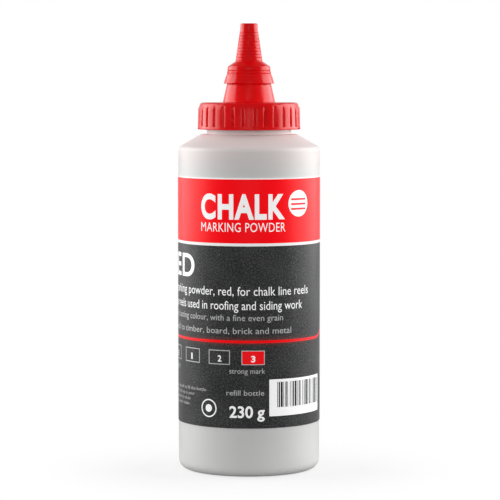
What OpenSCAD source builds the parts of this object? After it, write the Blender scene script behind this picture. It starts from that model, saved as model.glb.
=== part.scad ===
// Squeeze bottle of marking chalk powder, for filling a chalk line reel.
// A blow-moulded bottle with a screw neck, a wrap label, a ribbed spout cap with a
// sealing liner, and a ringed nozzle tip that pulls up to open. Millimetres, +Z up.
// The origin is on the floor at the middle of the base, and the label faces -Y.

/* [Bottle] */
// Outer radius of the body
body_r = 28.3; // [22:0.1:40]
// Height of the flat ledge at the foot of the neck
shoulder_z = 134; // [100:1:200]
// Width of that ledge
ledge_w = 2.35; // [1.5:0.05:4]
// Slope of the shoulder below the horizontal, in degrees
shoulder_slope = 29.6; // [20:0.1:45]
// Round between shoulder and body
shoulder_round = 2.2; // [1.6:0.1:5]
// Round between body and base
base_round = 5.4; // [2:0.1:7]
// Width of the flat ring that the bottle stands on
standing_ring_w = 2.2; // [1:0.1:4]
// Height of the hollow inside the standing ring
pushup_h = 2.6; // [1:0.1:5]
// Thickness of the body wall
bottle_wall = 1.2; // [0.8:0.05:1.5]

/* [Neck and thread] */
// Outer radius of the neck between its threads
neck_r = 16.85; // [14:0.05:18]
// Thickness of the neck wall
neck_wall = 1.6; // [1.2:0.05:2.5]
// Height of the neck above the ledge
neck_h = 10.2; // [9:0.1:14]
// Rise of the thread in one turn (6 turns to the inch)
thread_pitch = 4.233; // [4:0.001:5]
// How far the neck thread stands out
thread_depth = 1.2; // [0.8:0.05:1.4]
// Width of a thread at its foot
thread_foot_w = 2.1; // [1.6:0.1:2.4]
// Width of a thread at its crest
thread_crest_w = 0.9; // [0.6:0.1:1.2]
// Gap between the crest of each thread and the wall that it faces
thread_clearance = 0.35; // [0.25:0.05:0.5]

/* [Spout cap] */
// Gap between the foot of the collar and the ledge of the bottle
collar_gap = 2; // [1:0.1:3]
// Thickness of the collar wall between its ribs
collar_wall = 1.4; // [1.2:0.1:3]
// How far the grip ribs stand out at the foot of the collar
rib_depth = 0.7; // [0.4:0.05:1.2]
// How much further in the ribs stand at their top
rib_draft = 0.25; // [0:0.05:0.4]
// Number of grip ribs
rib_count = 30; // [20:1:34]
// Width of one grip rib
rib_w = 2.9; // [1.2:0.1:3.2]
// Height of the plain rim below the ribs
rim_h = 1.2; // [0.8:0.1:2]
// Thickness of the panel on top of the collar
panel_t = 1.5; // [1.2:0.1:2.5]
// Round on the top edge of the collar
collar_round = 1.4; // [0.6:0.1:1.5]
// Height of the spout cone above the panel
cone_h = 7.9; // [6:0.1:12]
// How much wider the cone is at its foot than at its top
cone_flare = 1.8; // [0.8:0.1:3]
// Width of the ledge on top of the cone, round the barrel
cone_ledge_w = 1.9; // [1.6:0.1:2.2]
// Thickness of the cone wall
cone_wall = 1.3; // [1:0.1:1.6]

/* [Barrel and stem] */
// Outer radius of the barrel that the nozzle tip slides on
barrel_r = 6.8; // [6.6:0.1:7.2]
// Thickness of the barrel wall
barrel_wall = 1.2; // [0.8:0.1:1.5]
// How far the stop bead stands out of the barrel
bead_depth = 0.3; // [0.2:0.05:0.4]
// Height of the stop bead
bead_h = 0.6; // [0.4:0.1:0.8]
// Radius of the stem in the middle of the barrel
stem_r = 1.9; // [1.7:0.1:2.2]
// Radius of the plug on the end of the stem
plug_r = 1.45; // [1:0.05:1.6]
// Length of the plug
plug_l = 4; // [2:0.5:6]
// Thickness of the three webs that hold the stem
web_t = 1.2; // [0.8:0.1:1.6]
// Height of those webs
web_h = 4; // [2:0.5:5]

/* [Nozzle tip] */
// Running clearance between tip and barrel, and between tip and plug
slide_clearance = 0.05; // [0.03:0.01:0.1]
// Gap left between pieces that face each other without sliding
seat_gap = 0.3; // [0.2:0.05:0.5]
// How far the tip pulls up to open
pull_travel = 3.5; // [2:0.5:5]
// How far the foot of the tip hangs over the top of the cone
bell_overhang = 0.4; // [0.2:0.1:0.8]
// Height of the bell over the hollow inside it
bell_roof = 0.65; // [0.4:0.05:1.5]
// Thickness of the bell's wall at its top
bell_wall = 1.25; // [1:0.05:2]
// How much wider than its top the bell is at its waist
bell_waist_flare = 0.8; // [0.4:0.1:1.2]
// How much wider than its top the bell is at its foot
bell_foot_flare = 1.7; // [1.4:0.1:2.5]
// Height of the flared foot, up to the waist
flare_h = 3; // [2:0.1:4]
// Height of the sloping shoulder above the bell
tip_shoulder_h = 1.9; // [1.5:0.1:3]
// Height of the slender ringed stretch
ringed_h = 12.4; // [10:0.1:16]
// Radius at the foot of the ringed stretch
ringed_foot_r = 5.45; // [5.2:0.05:7]
// Radius at the top of the tip
tip_top_r = 3.45; // [3.2:0.05:5]
// Height of the plain band above the rings
plain_band_h = 2.7; // [1:0.1:4]
// Number of grip rings on the slender stretch
ring_count = 10; // [6:1:12]
// Depth of the grooves between the rings
ring_depth = 0.25; // [0.1:0.05:0.4]
// Thickness of the wall of the tip
tip_wall = 1.3; // [1:0.1:1.5]
// Height of the lip that runs on the barrel
lip_h = 0.9; // [0.6:0.05:1.2]
// Length of the hole in the end of the tip
orifice_l = 1.6; // [1:0.1:2.5]

/* [Liner] */
// Thickness of the ring liner between neck and cap
liner_t = 1; // [0.6:0.1:1.5]
// How far the liner reaches in past the neck wall
liner_lap = 0.35; // [0:0.05:1]

/* [Label] */
// Height of the foot of the label above the floor
label_z = 19.6; // [8:0.1:40]
// Drop from the ledge of the bottle to the top of the label
label_drop = 16.4; // [12:0.1:40]
// Thickness of the label film
label_t = 0.15; // [0.05:0.05:0.3]
// Thickness of the glue line under the film
glue_t = 0.05; // [0.02:0.01:0.1]
// Width of the gap between the two ends of the label, at the back
label_seam_w = 3; // [1:0.5:20]

/* [Chalk powder] */
// Drop from the ledge of the bottle to the top of the powder
headspace_h = 16; // [12:0.5:60]
// Gap between powder and bottle wall
powder_gap = 0.1; // [0.05:0.05:0.5]

/* [Hidden] */

$fn = 96;
eps = 0.01;
ARC_STEPS = 8;
THREAD_STEPS = 48; // straight pieces in one turn of thread
THREAD_ROOT = 0.3; // how deep a thread's foot is sunk into its wall
THREAD_LEAD_IN = 0.25; // share of a turn over which a thread grows to full depth
LAND_TO_THREAD = 2.3; // from the top of the neck down to the middle of its thread's end
COLLAR_TO_THREAD = 0.6; // from the foot of the collar up to the middle of its start
BEAD_MARGIN = 0.25; // left between the lip and the bead when the tip is pulled up

ledge_r = neck_r + ledge_w;
neck_top = shoulder_z + neck_h;
neck_bore_r = neck_r - neck_wall;
thread_r = neck_r + thread_depth;
collar_z = shoulder_z + collar_gap;
helix_z = collar_z + COLLAR_TO_THREAD;
thread_turns = (neck_top - LAND_TO_THREAD - helix_z) / thread_pitch;

collar_bore_r = thread_r + thread_clearance;
collar_core_r = collar_bore_r + collar_wall;
panel_under_z = neck_top + liner_t;
panel_z = panel_under_z + panel_t;
cone_top_z = panel_z + cone_h;
cone_top_r = barrel_r + cone_ledge_w;
cone_foot_r = cone_top_r + cone_flare;

tip_z = cone_top_z - bell_overhang;
lip_z = cone_top_z + seat_gap;
bead_z = lip_z + lip_h + pull_travel + BEAD_MARGIN; // the raised lip stops just under the bead
barrel_top_z = bead_z + bead_h;
roof_z = barrel_top_z + seat_gap;
bell_top_z = roof_z + bell_roof;
ringed_z = bell_top_z + tip_shoulder_h;
tip_top_z = ringed_z + ringed_h + plain_band_h;
tip_bore_r = barrel_r + bead_depth + slide_clearance;
bell_top_r = tip_bore_r + bell_wall;
orifice_r = plug_r + slide_clearance;
plug_top_z = tip_top_z - 0.2;

// Points along an arc about [x, y] from one angle to another.
function arc(x, y, r, from, to, steps = ARC_STEPS) =
    [for (i = [0:steps]) let (a = from + (to - from) * i / steps)
        [x + r * cos(a), y + r * sin(a)]];

// Radius of the sphere that the hollow under the base belongs to.
function pushup_sphere() =
    let (ring_in = body_r - base_round - standing_ring_w)
        (ring_in * ring_in + pushup_h * pushup_h) / (2 * pushup_h);

// Outline of the bottle below its neck, moved inward by t: t = 0 is the outside and
// t = bottle_wall the inside. It runs from the axis at the base to the ledge.
function body_outline(t) =
    let (
        dome = pushup_sphere(),
        rise = pushup_h - dome,
        dome_edge = sqrt(pow(dome + t, 2) - pow(t - rise, 2)),
        dome_a = asin(dome_edge / (dome + t)),
        round_x = body_r - shoulder_round,
        turn = 90 - shoulder_slope,
        slope_from = round_x + shoulder_round * cos(turn),
        round_z = shoulder_z - (slope_from - ledge_r) * tan(shoulder_slope)
            - shoulder_round * sin(turn),
        ledge_in = ledge_r - t * (1 / cos(shoulder_slope) - 1) / tan(shoulder_slope)
    )
    concat(
        arc(0, rise, dome + t, 90, 90 - dome_a),
        arc(body_r - base_round, base_round, base_round - t, -90, 0),
        arc(round_x, round_z, shoulder_round - t, 0, turn),
        [[ledge_in, shoulder_z - t]]
    );

// A helical thread as one closed mesh, on the helix whose middle is at height z at
// angle 0. It grows from the wall at foot_r out or in to crest_r, starts so many turns
// along the helix, and tapers to nothing at both ends.
module thread(foot_r, crest_r, z, start = 0) {
    steps = round(thread_turns * THREAD_STEPS);
    out = crest_r > foot_r ? 1 : -1;
    root_r = foot_r - out * THREAD_ROOT;
    function grow(i) = min(1, i / (THREAD_LEAD_IN * THREAD_STEPS),
        (steps - i) / (THREAD_LEAD_IN * THREAD_STEPS));
    function ring(i) =
        let (
            turns = start + i / THREAD_STEPS,
            a = 360 * turns,
            mid = z + thread_pitch * turns,
            g = grow(i),
            crest = root_r + (crest_r - root_r) * (0.2 + 0.8 * g),
            foot = thread_foot_w / 2,
            tip = thread_crest_w / 2
        )
        [for (p = [[root_r, -foot], [crest, -tip], [crest, tip], [root_r, foot]])
            [p[0] * cos(a), p[0] * sin(a), mid + p[1]]];
    points = [for (i = [0:steps]) each ring(i)];
    sides = [for (i = [0:steps - 1], k = [0:3])
        let (a = 4 * i + k, b = 4 * i + (k + 1) % 4)
            out > 0 ? [a, b, b + 4, a + 4] : [a + 4, b + 4, b, a]];
    first = out > 0 ? [3, 2, 1, 0] : [0, 1, 2, 3];
    last = [for (k = first) 4 * steps + 3 - k];
    polyhedron(points, concat(sides, [first], [last]), convexity = 6);
}

// Blow-moulded bottle with its screw neck.
module bottle() color("#f2f1ee") {
    lead = 0.5; // chamfer on the lip of the neck
    rotate_extrude()
        difference() {
            union() {
                polygon(concat(body_outline(0), [[0, shoulder_z]]));
                polygon([
                    [0, shoulder_z - eps],
                    [neck_r, shoulder_z - eps],
                    [neck_r, neck_top - lead],
                    [neck_r - lead, neck_top],
                    [0, neck_top]
                ]);
            }
            polygon(concat(body_outline(bottle_wall), [[0, shoulder_z - bottle_wall]]));
            translate([0, shoulder_z - bottle_wall - eps])
                square([neck_bore_r, neck_h + bottle_wall + 1]);
        }
    thread(neck_r, thread_r, helix_z);
}

// Film label wrapped round the body, with its two ends apart at the back.
module label() color("#d9162b") {
    inner = body_r + glue_t;
    seam_a = 360 * label_seam_w / (2 * PI * body_r);
    rotate([0, 0, 90 + seam_a / 2])
        rotate_extrude(angle = 360 - seam_a)
            translate([inner, label_z])
                square([label_t, shoulder_z - label_drop - label_z]);
}

// The powder that the bottle holds, as a plain closed solid.
module chalk_powder() color("#b3202c")
    rotate_extrude()
        intersection() {
            polygon(concat(
                body_outline(bottle_wall + powder_gap),
                [[0, shoulder_z - bottle_wall - powder_gap]]
            ));
            square([body_r, shoulder_z - headspace_h]);
        }

// Ring liner that the cap presses on the top of the neck.
module cap_liner() color("#e8e6df")
    translate([0, 0, neck_top])
        difference() {
            cylinder(r = collar_bore_r - seat_gap, h = liner_t);
            translate([0, 0, -1])
                cylinder(r = neck_bore_r - liner_lap, h = liner_t + 2);
        }

// Grip ribs round the collar, drafted inward and sloped off at the top.
module collar_ribs() {
    foot_r = collar_core_r + rib_depth;
    top_z = panel_z - collar_round - 0.4;
    intersection() {
        rotate_extrude()
            polygon([
                [collar_bore_r + collar_wall / 2, collar_z + eps],
                [foot_r - eps, collar_z + eps],
                [foot_r - rib_draft, top_z - 0.5],
                [collar_core_r, top_z + 0.4],
                [collar_bore_r + collar_wall / 2, top_z + 0.4]
            ]);
        for (i = [0:rib_count - 1])
            rotate([0, 0, 360 * (i + 0.5) / rib_count])
                translate([collar_bore_r, -rib_w / 2, collar_z])
                    cube([collar_wall + rib_depth + 1, rib_w, panel_z - collar_z]);
    }
}

// Stem with the sealing plug on its end, held in the barrel by three webs.
module stem() {
    web_z = cone_top_z + 0.6;
    rotate_extrude()
        polygon([
            [0, web_z],
            [stem_r, web_z],
            [stem_r, barrel_top_z],
            [plug_r, plug_top_z - plug_l],
            [plug_r, plug_top_z - 0.4],
            [plug_r - 0.4, plug_top_z],
            [0, plug_top_z]
        ]);
    for (i = [0:2])
        rotate([0, 0, 90 + 120 * i])
            translate([stem_r / 2, -web_t / 2, web_z])
                cube([barrel_r - barrel_wall / 2 - stem_r / 2, web_t, web_h]);
}

// Screw cap, spout cone, barrel and stem, all one moulding.
module spout_cap() color("#d4101c") {
    rotate_extrude()
        difference() {
            union() {
                // rim, collar and panel
                translate([0, collar_z])
                    square([collar_core_r + rib_depth, rim_h]);
                polygon(concat(
                    [[0, collar_z], [collar_core_r, collar_z]],
                    arc(collar_core_r - collar_round, panel_z - collar_round,
                        collar_round, 0, 90),
                    [[0, panel_z]]
                ));
                // cone and barrel
                polygon([
                    [0, panel_z - eps],
                    [cone_foot_r, panel_z - eps],
                    [cone_top_r, cone_top_z],
                    [barrel_r, cone_top_z],
                    [barrel_r, bead_z],
                    [barrel_r + bead_depth, bead_z],
                    [barrel_r + bead_depth, bead_z + bead_h / 2],
                    [barrel_r, barrel_top_z],
                    [0, barrel_top_z]
                ]);
            }
            // room for the neck
            translate([0, collar_z - 1])
                square([collar_bore_r, panel_under_z - collar_z + 1]);
            // passage through cone and barrel
            polygon([
                [0, panel_under_z - 1],
                [cone_foot_r - cone_wall, panel_under_z - 1],
                [cone_foot_r - cone_wall, panel_z],
                [barrel_r - barrel_wall, cone_top_z - cone_wall],
                [barrel_r - barrel_wall, barrel_top_z + 1],
                [0, barrel_top_z + 1]
            ]);
        }
    collar_ribs();
    stem();
    // half a pitch from the neck's helix, and low enough to clear the liner
    thread(collar_bore_r, neck_r + thread_clearance, helix_z + thread_pitch / 2,
        start = -0.25);
}

// Radius of the ringed stretch of the tip at height z above its foot.
function ringed_r(z) = ringed_foot_r + (tip_top_r + 0.15 - ringed_foot_r) * z / ringed_h;

// Ringed tip: its lip slides on the barrel, and the plug closes its hole when down.
module nozzle_tip() color("#d4101c") {
    edge = 0.6;
    ring_pitch = (ringed_h - 0.2) / ring_count;
    rotate_extrude()
        difference() {
            polygon(concat(
                [
                    [0, tip_z],
                    [bell_top_r + bell_foot_flare, tip_z],
                    [bell_top_r + bell_waist_flare, tip_z + flare_h],
                    [bell_top_r, bell_top_z - edge],
                    [bell_top_r - edge, bell_top_z]
                ],
                [for (i = [0:ring_count - 1])
                    let (z = i * ring_pitch, r = ringed_r(z))
                        each [
                            [r - ring_depth, ringed_z + z],
                            [r - ring_depth, ringed_z + z + 0.35],
                            [r, ringed_z + z + 0.5],
                            [r - 0.05, ringed_z + z + ring_pitch - 0.1]
                        ]],
                [[tip_top_r + 0.15, ringed_z + ringed_h]],
                arc(tip_top_r - edge, tip_top_z - edge, edge, 0, 90, 4),
                [[0, tip_top_z]]
            ));
            polygon([
                [0, tip_z - 1],
                [cone_top_r + seat_gap + 0.15, tip_z - 1],
                [cone_top_r + seat_gap, lip_z],
                [barrel_r + slide_clearance, lip_z],
                [barrel_r + slide_clearance, lip_z + lip_h],
                [tip_bore_r, lip_z + lip_h],
                [tip_bore_r, roof_z],
                [ringed_foot_r - tip_wall, ringed_z],
                [tip_top_r - tip_wall + 0.1, tip_top_z - orifice_l],
                [orifice_r, tip_top_z - orifice_l],
                [orifice_r, tip_top_z + 1],
                [0, tip_top_z + 1]
            ]);
        }
}

bottle();
label();
chalk_powder();
cap_liner();
spout_cap();
nozzle_tip();
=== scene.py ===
# %% [markdown]
# # A squeeze bottle of marking chalk
#
# Chalk line reels are refilled from a bottle like this one: a blow-moulded bottle with a screw neck, a film
# label wrapped round it, a ribbed spout cap, and a ringed nozzle tip that pulls up to open. Nearly every
# piece is turned, so nearly every piece here is one outline carried round the upright axis, with ribs,
# threads and rings added by formula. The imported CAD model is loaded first. It fixes where everything goes,
# and nothing below moves it.

# %% Load the frame
import math

import bmesh
import bpy
import numpy as np
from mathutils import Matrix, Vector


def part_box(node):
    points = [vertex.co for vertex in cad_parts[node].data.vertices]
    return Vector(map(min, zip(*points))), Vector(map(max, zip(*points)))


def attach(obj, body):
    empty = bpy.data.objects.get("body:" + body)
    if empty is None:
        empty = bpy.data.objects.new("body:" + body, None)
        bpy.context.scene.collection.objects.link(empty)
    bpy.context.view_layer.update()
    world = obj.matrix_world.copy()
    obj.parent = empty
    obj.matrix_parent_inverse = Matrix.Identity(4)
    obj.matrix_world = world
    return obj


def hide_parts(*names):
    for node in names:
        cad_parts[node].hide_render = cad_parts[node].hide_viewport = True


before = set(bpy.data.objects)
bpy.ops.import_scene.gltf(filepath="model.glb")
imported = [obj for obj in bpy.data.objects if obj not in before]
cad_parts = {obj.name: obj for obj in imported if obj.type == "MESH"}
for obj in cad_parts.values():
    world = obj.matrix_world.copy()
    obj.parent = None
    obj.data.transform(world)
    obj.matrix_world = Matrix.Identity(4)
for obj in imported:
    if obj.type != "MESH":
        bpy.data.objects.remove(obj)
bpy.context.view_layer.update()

MM = 0.001

# %% [markdown]
# ## Sizes
#
# The main radii and heights are read from the CAD nodes, so the looks follow the design. What the boxes
# can't tell, such as how wide the ledge under the neck is, is a named value in millimetres.

# %% Sizes read from the frame


def reach(node):
    """(radius, lowest z, highest z) of a CAD node, in millimetres."""
    low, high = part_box(node)
    return float(high[0]) / MM, float(low[2]) / MM, float(high[2]) / MM


BODY_R, _, NECK_TOP = reach("bottle")
LABEL_R, LABEL_Z0, LABEL_Z1 = reach("label")
COLLAR_R, COLLAR_Z, STEM_TOP = reach("spout_cap")
TIP_FOOT_R, TIP_Z, TIP_TOP = reach("nozzle_tip")
LINER_R, LINER_Z0, LINER_Z1 = reach("cap_liner")
POWDER_R, POWDER_Z0, POWDER_Z1 = reach("chalk_powder")
print(f"body r {BODY_R:.2f}, neck top {NECK_TOP:.1f}, collar from {COLLAR_Z:.1f}, tip top {TIP_TOP:.1f}")

# %% Sizes of the bottle, in millimetres
LEDGE_Z = NECK_TOP - 10.2
NECK_R = 16.85
NECK_BORE_R = 15.25
LEDGE_R = 19.2
WALL = 1.2
SLOPE = math.tan(math.radians(29.6))
PITCH = 4.233
THREAD_DEPTH = 1.2
HELIX_Z = COLLAR_Z + 0.6
THREAD_TURNS = (NECK_TOP - 2.3 - HELIX_Z) / PITCH

# %% [markdown]
# ## From an outline to a surface
#
# Moulded plastic has no truly sharp corner: each one is a small round that catches the light, and those
# fine bright lines are what makes plastic look like plastic. So an outline is written as its corner points
# with a radius at each, and a helper swaps every corner for its arc. A bevel modifier could do this too,
# but on a turned piece it would also need the right segments at every seam; here the arc is exact and costs
# a few rows.

# %% Rounding an outline


def outline(corners, arc_steps=5, closed=False):
    """Points of an outline given as (x, z, radius, step) corners, of which radius and step may be left
    out. Each corner becomes the arc that touches both its sides: it starts radius / tan(half the angle)
    along each side. The stretch after a corner is cut into pieces no longer than its step."""
    full = [tuple(c) + (0.0, 1e9)[len(c) - 2:] for c in corners]
    places = np.array([c[:2] for c in full], float)
    count = len(full)
    arcs = []
    for i, (_, _, radius, _) in enumerate(full):
        here = places[i]
        if radius == 0 or (not closed and i in (0, count - 1)):
            arcs.append(here[None])
            continue
        back, ahead = places[i - 1] - here, places[(i + 1) % count] - here
        longest = 0.49 * min(np.linalg.norm(back), np.linalg.norm(ahead))
        back, ahead = back / np.linalg.norm(back), ahead / np.linalg.norm(ahead)
        half = 0.5 * math.acos(np.clip(back @ ahead, -1, 1))
        radius = min(radius, longest * math.tan(half))
        middle = (back + ahead) / np.linalg.norm(back + ahead)
        centre = here + middle * radius / math.sin(half)
        first = here + back * radius / math.tan(half) - centre
        last = here + ahead * radius / math.tan(half) - centre
        start = math.atan2(first[1], first[0])
        turn = (math.atan2(last[1], last[0]) - start + math.pi) % (2 * math.pi) - math.pi
        angle = start + turn * np.linspace(0, 1, arc_steps + 1)
        arcs.append(centre + radius * np.stack([np.cos(angle), np.sin(angle)], axis=1))
    pieces = []
    for i, arc in enumerate(arcs):
        pieces.append(arc)
        if i == count - 1 and not closed:
            break
        after = arcs[(i + 1) % count][0]
        cuts = math.ceil(np.linalg.norm(after - arc[-1]) / full[i][3])
        share = np.arange(1, cuts)[:, None] / max(cuts, 1)
        pieces.append(arc[-1] + (after - arc[-1]) * share)
    return np.vstack(pieces)


def around(count):
    """Evenly spaced angles round the axis, in radians."""
    return np.arange(count) * 2 * math.pi / count


def turned(radius, height, angle):
    """Grid of points: each row of radii goes round the axis, x = r cos a and y = r sin a, at its own
    height."""
    radius, height, angle = np.broadcast_arrays(radius, height, angle)
    return np.stack([radius * np.cos(angle), radius * np.sin(angle), height], axis=-1)


# %% [markdown]
# ## From a grid to a piece
#
# Every grid of points becomes a mesh the same way: neighbours are joined with four-sided faces, rows that
# shrink to a point on the axis are merged into a clean pole, and edges that turn sharply are marked so that
# smooth shading stops there. The piece is then tied to the CAD body that it moves with.

# %% Making a piece
PIECES = []
MERGE_WITHIN = 1e-7
SHARP_ANGLE = math.radians(38)


def finish_piece(mesh, body, material, stands_for=()):
    """Merges poles, shades smoothly up to the sharp angle, gives the piece its material, ties it to its body
    and hides the CAD nodes that it stands for. The volume that it prints for a closed piece is positive when
    the faces point outwards."""
    work = bmesh.new()
    work.from_mesh(mesh)
    bmesh.ops.remove_doubles(work, verts=work.verts, dist=MERGE_WITHIN)
    closed = all(edge.is_manifold for edge in work.edges)
    volume = work.calc_volume(signed=True) / MM ** 3
    work.to_mesh(mesh)
    work.free()
    mesh.shade_smooth()
    mesh.set_sharp_from_angle(angle=SHARP_ANGLE)
    piece = bpy.data.objects.new(mesh.name, mesh)
    bpy.context.scene.collection.objects.link(piece)
    mesh.materials.append(material)
    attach(piece, body)
    if stands_for:
        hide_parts(*stands_for)
    PIECES.append(piece)
    triangles = sum(len(p.vertices) - 2 for p in mesh.polygons)
    print(f"{mesh.name}: {triangles} triangles,", f"closed, {volume:.0f} mm3" if closed else "open")
    return piece


def grid_piece(name, points, body, material, stands_for=(), loop=False, ring=True, uv=None):
    """A piece from a grid, rows x columns x 3 in millimetres. ring joins the last column to the first,
    and loop the last row to the first. A looped grid with open columns gets a flat face at each end."""
    rows, columns = points.shape[:2]
    index = np.arange(rows * columns).reshape(rows, columns)
    tall = np.vstack([index, index[:1]]) if loop else index
    wide = np.hstack([tall, tall[:, :1]]) if ring else tall
    corners = (wide[:-1, :-1], wide[:-1, 1:], wide[1:, 1:], wide[1:, :-1])
    faces = np.stack(corners, axis=-1).reshape(-1, 4).tolist()
    if loop and not ring:
        faces += [index[:, 0].tolist(), index[::-1, -1].tolist()]
    mesh = bpy.data.meshes.new(name)
    mesh.from_pydata((points.reshape(-1, 3) * MM).tolist(), [], faces)
    if uv is not None:
        layer = mesh.uv_layers.new(name="film")
        vertex = np.empty(len(mesh.loops), int)
        mesh.loops.foreach_get("vertex_index", vertex)
        layer.data.foreach_set("uv", uv.reshape(-1, 2)[vertex].astype(np.float32).ravel())
    return finish_piece(mesh, body, material, stands_for)


# %% [markdown]
# ## Shader maths as plain Python
#
# A procedural material is arithmetic: a mask here, a bit of noise there. Drawn as wires it is hard to read,
# so one small class wraps a node's output and lets Python's own signs build the Math nodes. Everything else
# comes from one function that takes the kind of node, its settings and what goes into its sockets.

# %% One class and one function for every node


def node(tree, kind, settings=None, sockets=None, out=0):
    """Adds a node. Its settings, such as a Math node's operation, are set first, and then its sockets'
    values or links. It gives back the output that is asked for, or the node itself where that has no
    output."""
    made = tree.nodes.new(kind)
    for key, value in (settings or {}).items():
        setattr(made, key, value)
    for key, value in (sockets or {}).items():
        if isinstance(value, Val):
            tree.links.new(value.socket, made.inputs[key])
        else:
            made.inputs[key].default_value = value
    return Val(made.outputs[out]) if made.outputs else made


class Val:
    """A node's output that Python's signs work on: each sign adds one Math node."""

    def __init__(self, socket):
        self.socket = socket

    def math(self, operation, *values):
        sockets = dict(enumerate(values))
        return node(self.socket.id_data, "ShaderNodeMath", {"operation": operation}, sockets)

    def __add__(self, other):
        return self.math("ADD", self, other)

    def __sub__(self, other):
        return self.math("SUBTRACT", self, other)

    def __rsub__(self, other):
        return self.math("SUBTRACT", other, self)

    def __mul__(self, other):
        return self.math("MULTIPLY", self, other)

    def __truediv__(self, other):
        return self.math("DIVIDE", self, other)

    def __rtruediv__(self, other):
        return self.math("DIVIDE", other, self)

    def __pow__(self, other):
        return self.math("POWER", self, other)

    def __abs__(self):
        return self.math("ABSOLUTE", self)

    __radd__, __rmul__ = __add__, __mul__

    def step(self, low, high):
        """0 below low, 1 above high, and a smooth rise between them. It falls instead if low is over
        high."""
        settings = {"interpolation_type": "SMOOTHSTEP"}
        ends = {"From Min": min(low, high), "From Max": max(low, high)}
        targets = {"To Min": float(low > high), "To Max": float(low < high)}
        return node(self.socket.id_data, "ShaderNodeMapRange", settings, {"Value": self, **ends, **targets})


# %% Helpers that most materials share


def new_material(name):
    """An empty node material and its tree."""
    material = bpy.data.materials.new(name)
    material.use_nodes = True
    material.node_tree.nodes.clear()
    return material, material.node_tree


def places(tree):
    """Object coordinates as (vector, x, y, z). They are in metres and stay with the piece."""
    vector = node(tree, "ShaderNodeTexCoord", out=3)
    return (vector, *(node(tree, "ShaderNodeSeparateXYZ", {}, {0: vector}, out=k) for k in range(3)))


def noise(tree, vector, scale, detail=2.0, roughness=0.5):
    """Noise from 0 to 1 whose features are about 1 / scale metres apart."""
    sockets = {"Vector": vector, "Scale": scale, "Detail": detail, "Roughness": roughness}
    return node(tree, "ShaderNodeTexNoise", {}, sockets)


def mix(tree, share, first, second):
    """Colour first where share is 0, second where it is 1."""
    return node(tree, "ShaderNodeMix", {"data_type": "RGBA"}, {0: share, 6: first, 7: second}, out=2)


def bump(tree, height, strength):
    """A normal bent as if the surface rose by height, in metres, and then eased by strength."""
    return node(tree, "ShaderNodeBump", {}, {"Height": height, "Distance": 1.0, "Strength": strength})


def surface_shader(tree, **sockets):
    """Principled shader and output. A socket's name is written with underscores for its spaces."""
    named = {key.replace("_", " "): value for key, value in sockets.items()}
    shader = node(tree, "ShaderNodeBsdfPrincipled", {}, named)
    node(tree, "ShaderNodeOutputMaterial", {}, {"Surface": shader})


# %% [markdown]
# ## White bottle plastic
#
# The bottle is blow-moulded polyethylene with white pigment. Its mould is sand-blasted so that air can
# escape, which leaves a very fine satin tooth, and the blown wall is never perfectly even. Polyethylene
# also lets a little light in, which softens its shading. The inside of the neck keeps a film of chalk from
# the filling. A picture wrapped round the bottle could show this too, but it would need a seam; noise in
# object space has none, and stays sharp at any distance.

# %% White bottle plastic
CHALK_RED = (0.42, 0.02, 0.022, 1)
PLAIN_WHITE = (0.86, 0.86, 0.85, 1)
CLOUD_WHITE = (0.80, 0.80, 0.79, 1)
# painted light: the pink that red light from the cap would cast on the shoulder and neck
PAINTED_CAP_PINK_WHITE = (0.93, 0.83, 0.81, 1)


def bottle_plastic():
    """White with faint clouds, a painted pink glow on the shoulder and neck under the red cap, which stands
    in for red light thrown from the cap, and chalk dust inside the neck."""
    material, tree = new_material("white_bottle_plastic")
    vector, x, y, z = places(tree)
    cloudy = noise(tree, vector, 45, detail=3)
    tooth = noise(tree, vector, 2600, detail=2)
    uneven = noise(tree, vector, 60, detail=1)
    pale = mix(tree, cloudy, CLOUD_WHITE, PLAIN_WHITE)
    radius = (x * x + y * y) ** 0.5
    inside_neck = radius.step(0.0160, 0.0153) * z.step(0.120, 0.134)
    dusty = inside_neck * noise(tree, vector, 420, detail=4).step(0.35, 0.7)
    # painted red light from the cap: a pink share on the shoulder and neck, patchy with the clouds
    painted_cap_pink = z.step(0.1165, 0.128) * z.step(0.1355, 0.1335) * (0.55 + cloudy * 0.45)
    pale = mix(tree, painted_cap_pink, pale, PAINTED_CAP_PINK_WHITE)
    colour = mix(tree, dusty * 0.75, pale, CHALK_RED)
    surface_shader(
        tree,
        Base_Color=colour,
        Roughness=0.36 + cloudy * 0.12 + dusty * 0.4,
        Subsurface_Weight=0.12,
        Subsurface_Radius=(1.0, 0.9, 0.85),
        Subsurface_Scale=0.0015,
        Normal=bump(tree, tooth * 0.00002 + uneven * 0.00025, 0.5),
    )
    return material


BOTTLE_PLASTIC = bottle_plastic()
print("made", BOTTLE_PLASTIC.name)

# %% [markdown]
# ## Red moulded plastic
#
# The cap and the tip are injection-moulded and coloured right through, so the red is deep and even. What
# the eye reads as plastic is its gloss: clear at the edges, slightly broken up on the faces by the grain of
# the mould, and a little duller where fingers and chalk have rubbed it. The colour could be varied more to
# make it lively, but real coloured plastic is even, so here the roughness and a weak bump do that work.
# Both pieces share one recipe, and only the gloss differs.

# %% Red moulded plastic


def red_plastic(name, gloss):
    """gloss is the roughness of a clean face: the tip comes from a polished mould, and the cap from a
    slightly duller one."""
    material, tree = new_material(name)
    vector, _, _, _ = places(tree)
    handled = noise(tree, vector, 110, detail=4, roughness=0.6)
    grain = noise(tree, vector, 3200, detail=2)
    flow = noise(tree, vector, 70, detail=1)
    colour = mix(tree, handled.step(0.3, 0.75), (0.86, 0.0015, 0.003, 1), (0.93, 0.003, 0.006, 1))
    surface_shader(
        tree,
        Base_Color=colour,
        Roughness=gloss + handled.step(0.35, 0.8) * 0.10,
        Specular_IOR_Level=0.44,
        Normal=bump(tree, grain * 0.000012 + flow * 0.00012, 0.5),
    )
    return material


CAP_PLASTIC = red_plastic("red_cap_plastic", 0.19)
TIP_PLASTIC = red_plastic("red_tip_plastic", 0.13)
print("made", CAP_PLASTIC.name, TIP_PLASTIC.name)

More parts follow.
